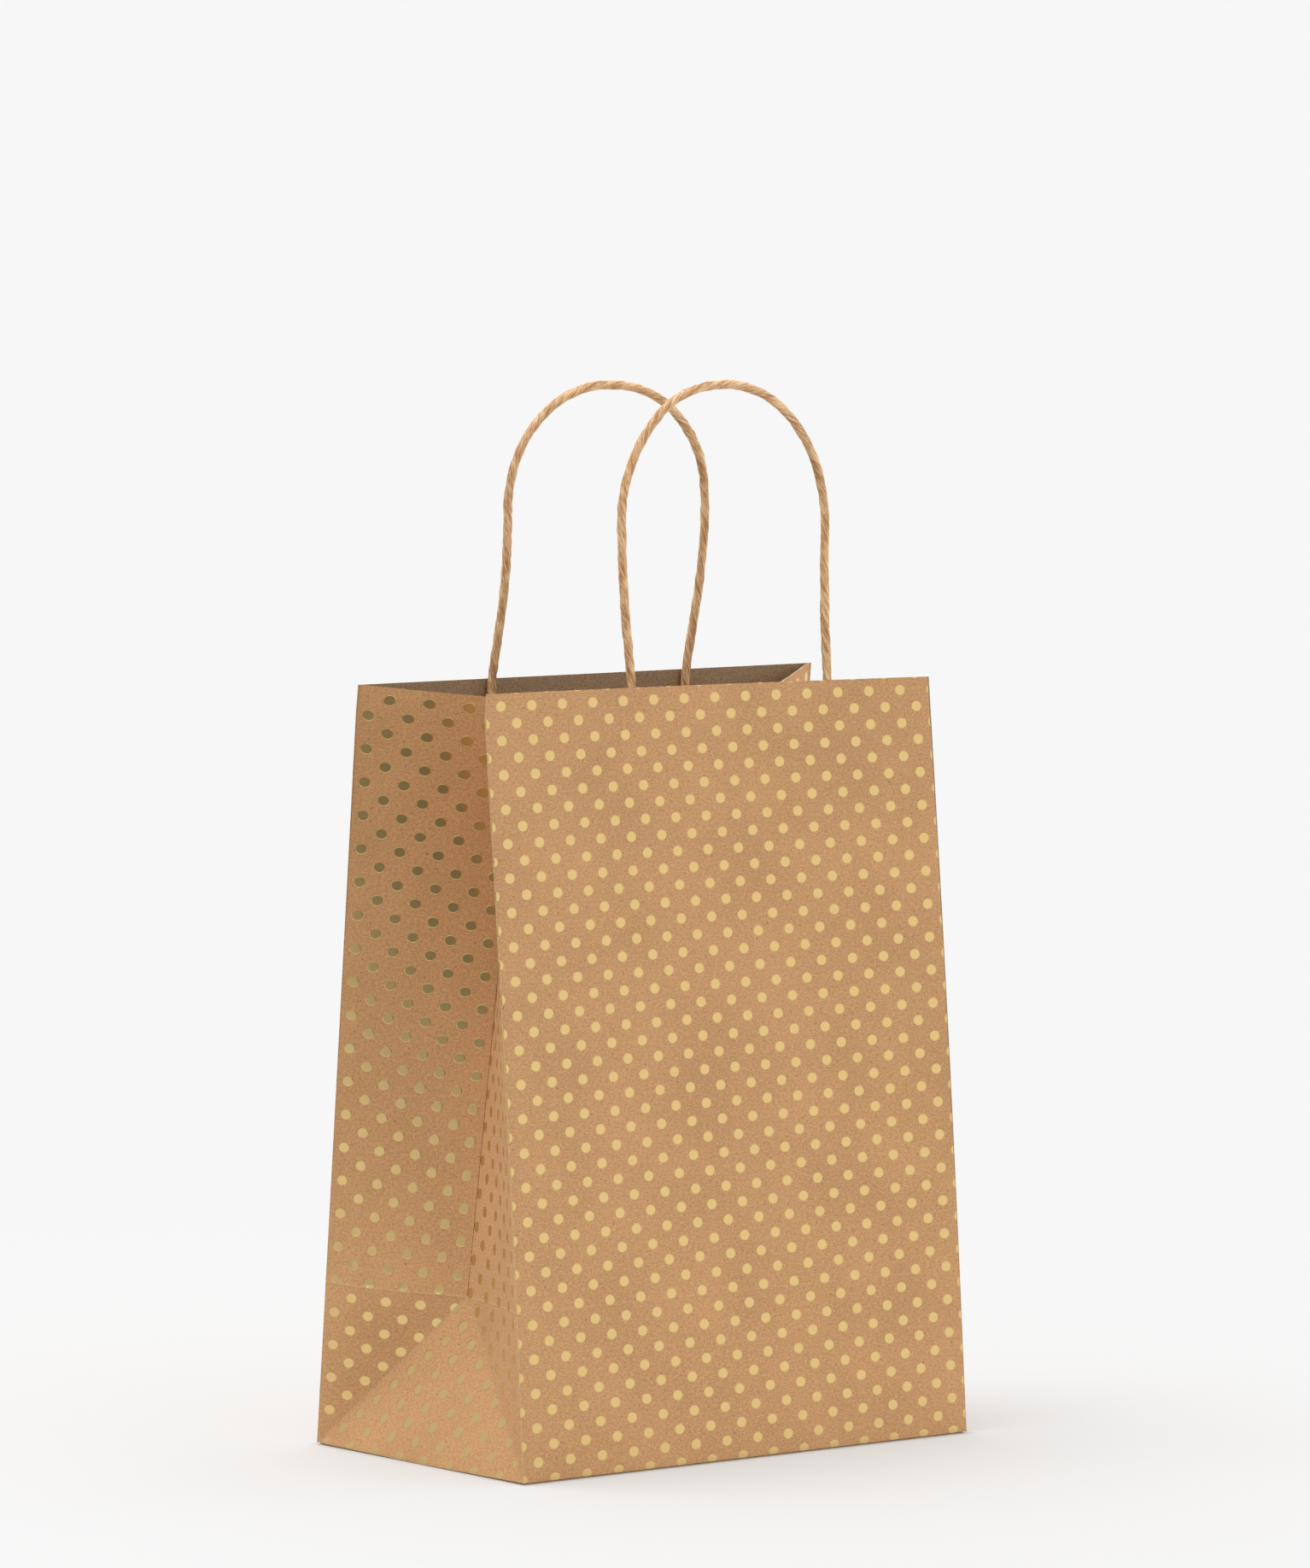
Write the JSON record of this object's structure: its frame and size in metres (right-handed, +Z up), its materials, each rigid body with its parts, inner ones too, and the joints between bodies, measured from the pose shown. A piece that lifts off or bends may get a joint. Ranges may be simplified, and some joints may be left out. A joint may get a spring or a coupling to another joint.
{
  "type": "gift bag",
  "caption": "Upright kraft paper gift bag with foil dots, inward-folding side gussets, a flat folded bottom and an arched twisted-paper handle on each panel.",
  "frame": {"origin": "middle of the bag's bottom, on the surface it stands on", "axes": "+Z up, -Y out of the front panel, +X to the right as seen from the front"},
  "size_m": [0.1794, 0.104, 0.3331],
  "materials": {
    "printed_kraft": "matte kraft with a staggered pattern of gold foil dots",
    "plain_kraft": "matte unprinted kraft",
    "patch_paper": "matte unprinted kraft",
    "twisted_cord": "tightly twisted kraft paper, slight sheen on the ridges"
  },
  "bodies": {
    "base": {"front_bottom_flap": "printed_kraft", "back_bottom_flap": "printed_kraft", "left_bottom_tuck": "plain_kraft", "right_bottom_tuck": "plain_kraft"},
    "front": {"front_panel": "printed_kraft", "front_patch_outer": "patch_paper", "front_patch_inner": "patch_paper", "front_handle_ends": "twisted_cord"},
    "back": {"back_panel": "printed_kraft", "side_seam_flap": "plain_kraft", "back_patch_outer": "patch_paper", "back_patch_inner": "patch_paper", "back_handle_ends": "twisted_cord"},
    "left_gusset_front": {"left_gusset_front": "printed_kraft"},
    "left_gusset_rear": {"left_gusset_rear": "printed_kraft"},
    "right_gusset_front": {"right_gusset_front": "printed_kraft"},
    "right_gusset_rear": {"right_gusset_rear": "printed_kraft"},
    "left_triangle": {"left_base_triangle": "printed_kraft"},
    "right_triangle": {"right_base_triangle": "printed_kraft"},
    "front_handle": {"front_handle": "twisted_cord"},
    "back_handle": {"back_handle": "twisted_cord"}
  },
  "joints": [
    {"name": "front_fold", "type": "hinge", "parent": "base", "child": "front", "pos_m": [0, -0.052, 0], "axis": [-1, 0, 0], "range_deg": [-2, 2.9]},
    {"name": "back_fold", "type": "hinge", "parent": "base", "child": "back", "pos_m": [0, 0.052, 0], "axis": [1, 0, 0], "range_deg": [-2, 2.9]},
    {"name": "left_gusset_front_fold", "type": "hinge", "parent": "front", "child": "left_gusset_front", "pos_m": [-0.09, -0.052, 0], "axis": [0, -0.0924, -0.9957], "range_deg": [-10.88, 15.78]},
    {"name": "left_gusset_rear_fold", "type": "hinge", "parent": "back", "child": "left_gusset_rear", "pos_m": [-0.09, 0.052, 0], "axis": [0, -0.0924, 0.9957], "range_deg": [-10.88, 15.78]},
    {"name": "left_triangle_fold", "type": "hinge", "parent": "base", "child": "left_triangle", "pos_m": [-0.09, 0, 0], "axis": [0, 1, 0], "range_deg": [-3.93, 5.69]},
    {"name": "right_gusset_front_fold", "type": "hinge", "parent": "front", "child": "right_gusset_front", "pos_m": [0.09, -0.052, 0], "axis": [0, 0.0924, 0.9957], "range_deg": [-10.88, 15.78]},
    {"name": "right_gusset_rear_fold", "type": "hinge", "parent": "back", "child": "right_gusset_rear", "pos_m": [0.09, 0.052, 0], "axis": [0, 0.0924, -0.9957], "range_deg": [-10.88, 15.78]},
    {"name": "right_triangle_fold", "type": "hinge", "parent": "base", "child": "right_triangle", "pos_m": [0.09, 0, 0], "axis": [0, -1, 0], "range_deg": [-3.93, 5.69]},
    {"name": "front_handle_swing", "type": "hinge", "parent": "front", "child": "front_handle", "pos_m": [0, -0.02787, 0.2406], "axis": [1, 0, 0], "range_deg": [-17, 83]},
    {"name": "back_handle_swing", "type": "hinge", "parent": "back", "child": "back_handle", "pos_m": [0, 0.02787, 0.2406], "axis": [-1, 0, 0], "range_deg": [-14, 80]}
  ],
  "couplings": [
    {"joint": "back_fold", "follows": "front_fold", "ratio": 1},
    {"joint": "left_gusset_front_fold", "follows": "front_fold", "ratio": 5.44},
    {"joint": "left_gusset_rear_fold", "follows": "front_fold", "ratio": 5.44},
    {"joint": "left_triangle_fold", "follows": "front_fold", "ratio": 1.963},
    {"joint": "right_gusset_front_fold", "follows": "front_fold", "ratio": 5.44},
    {"joint": "right_gusset_rear_fold", "follows": "front_fold", "ratio": 5.44},
    {"joint": "right_triangle_fold", "follows": "front_fold", "ratio": 1.963}
  ]
}
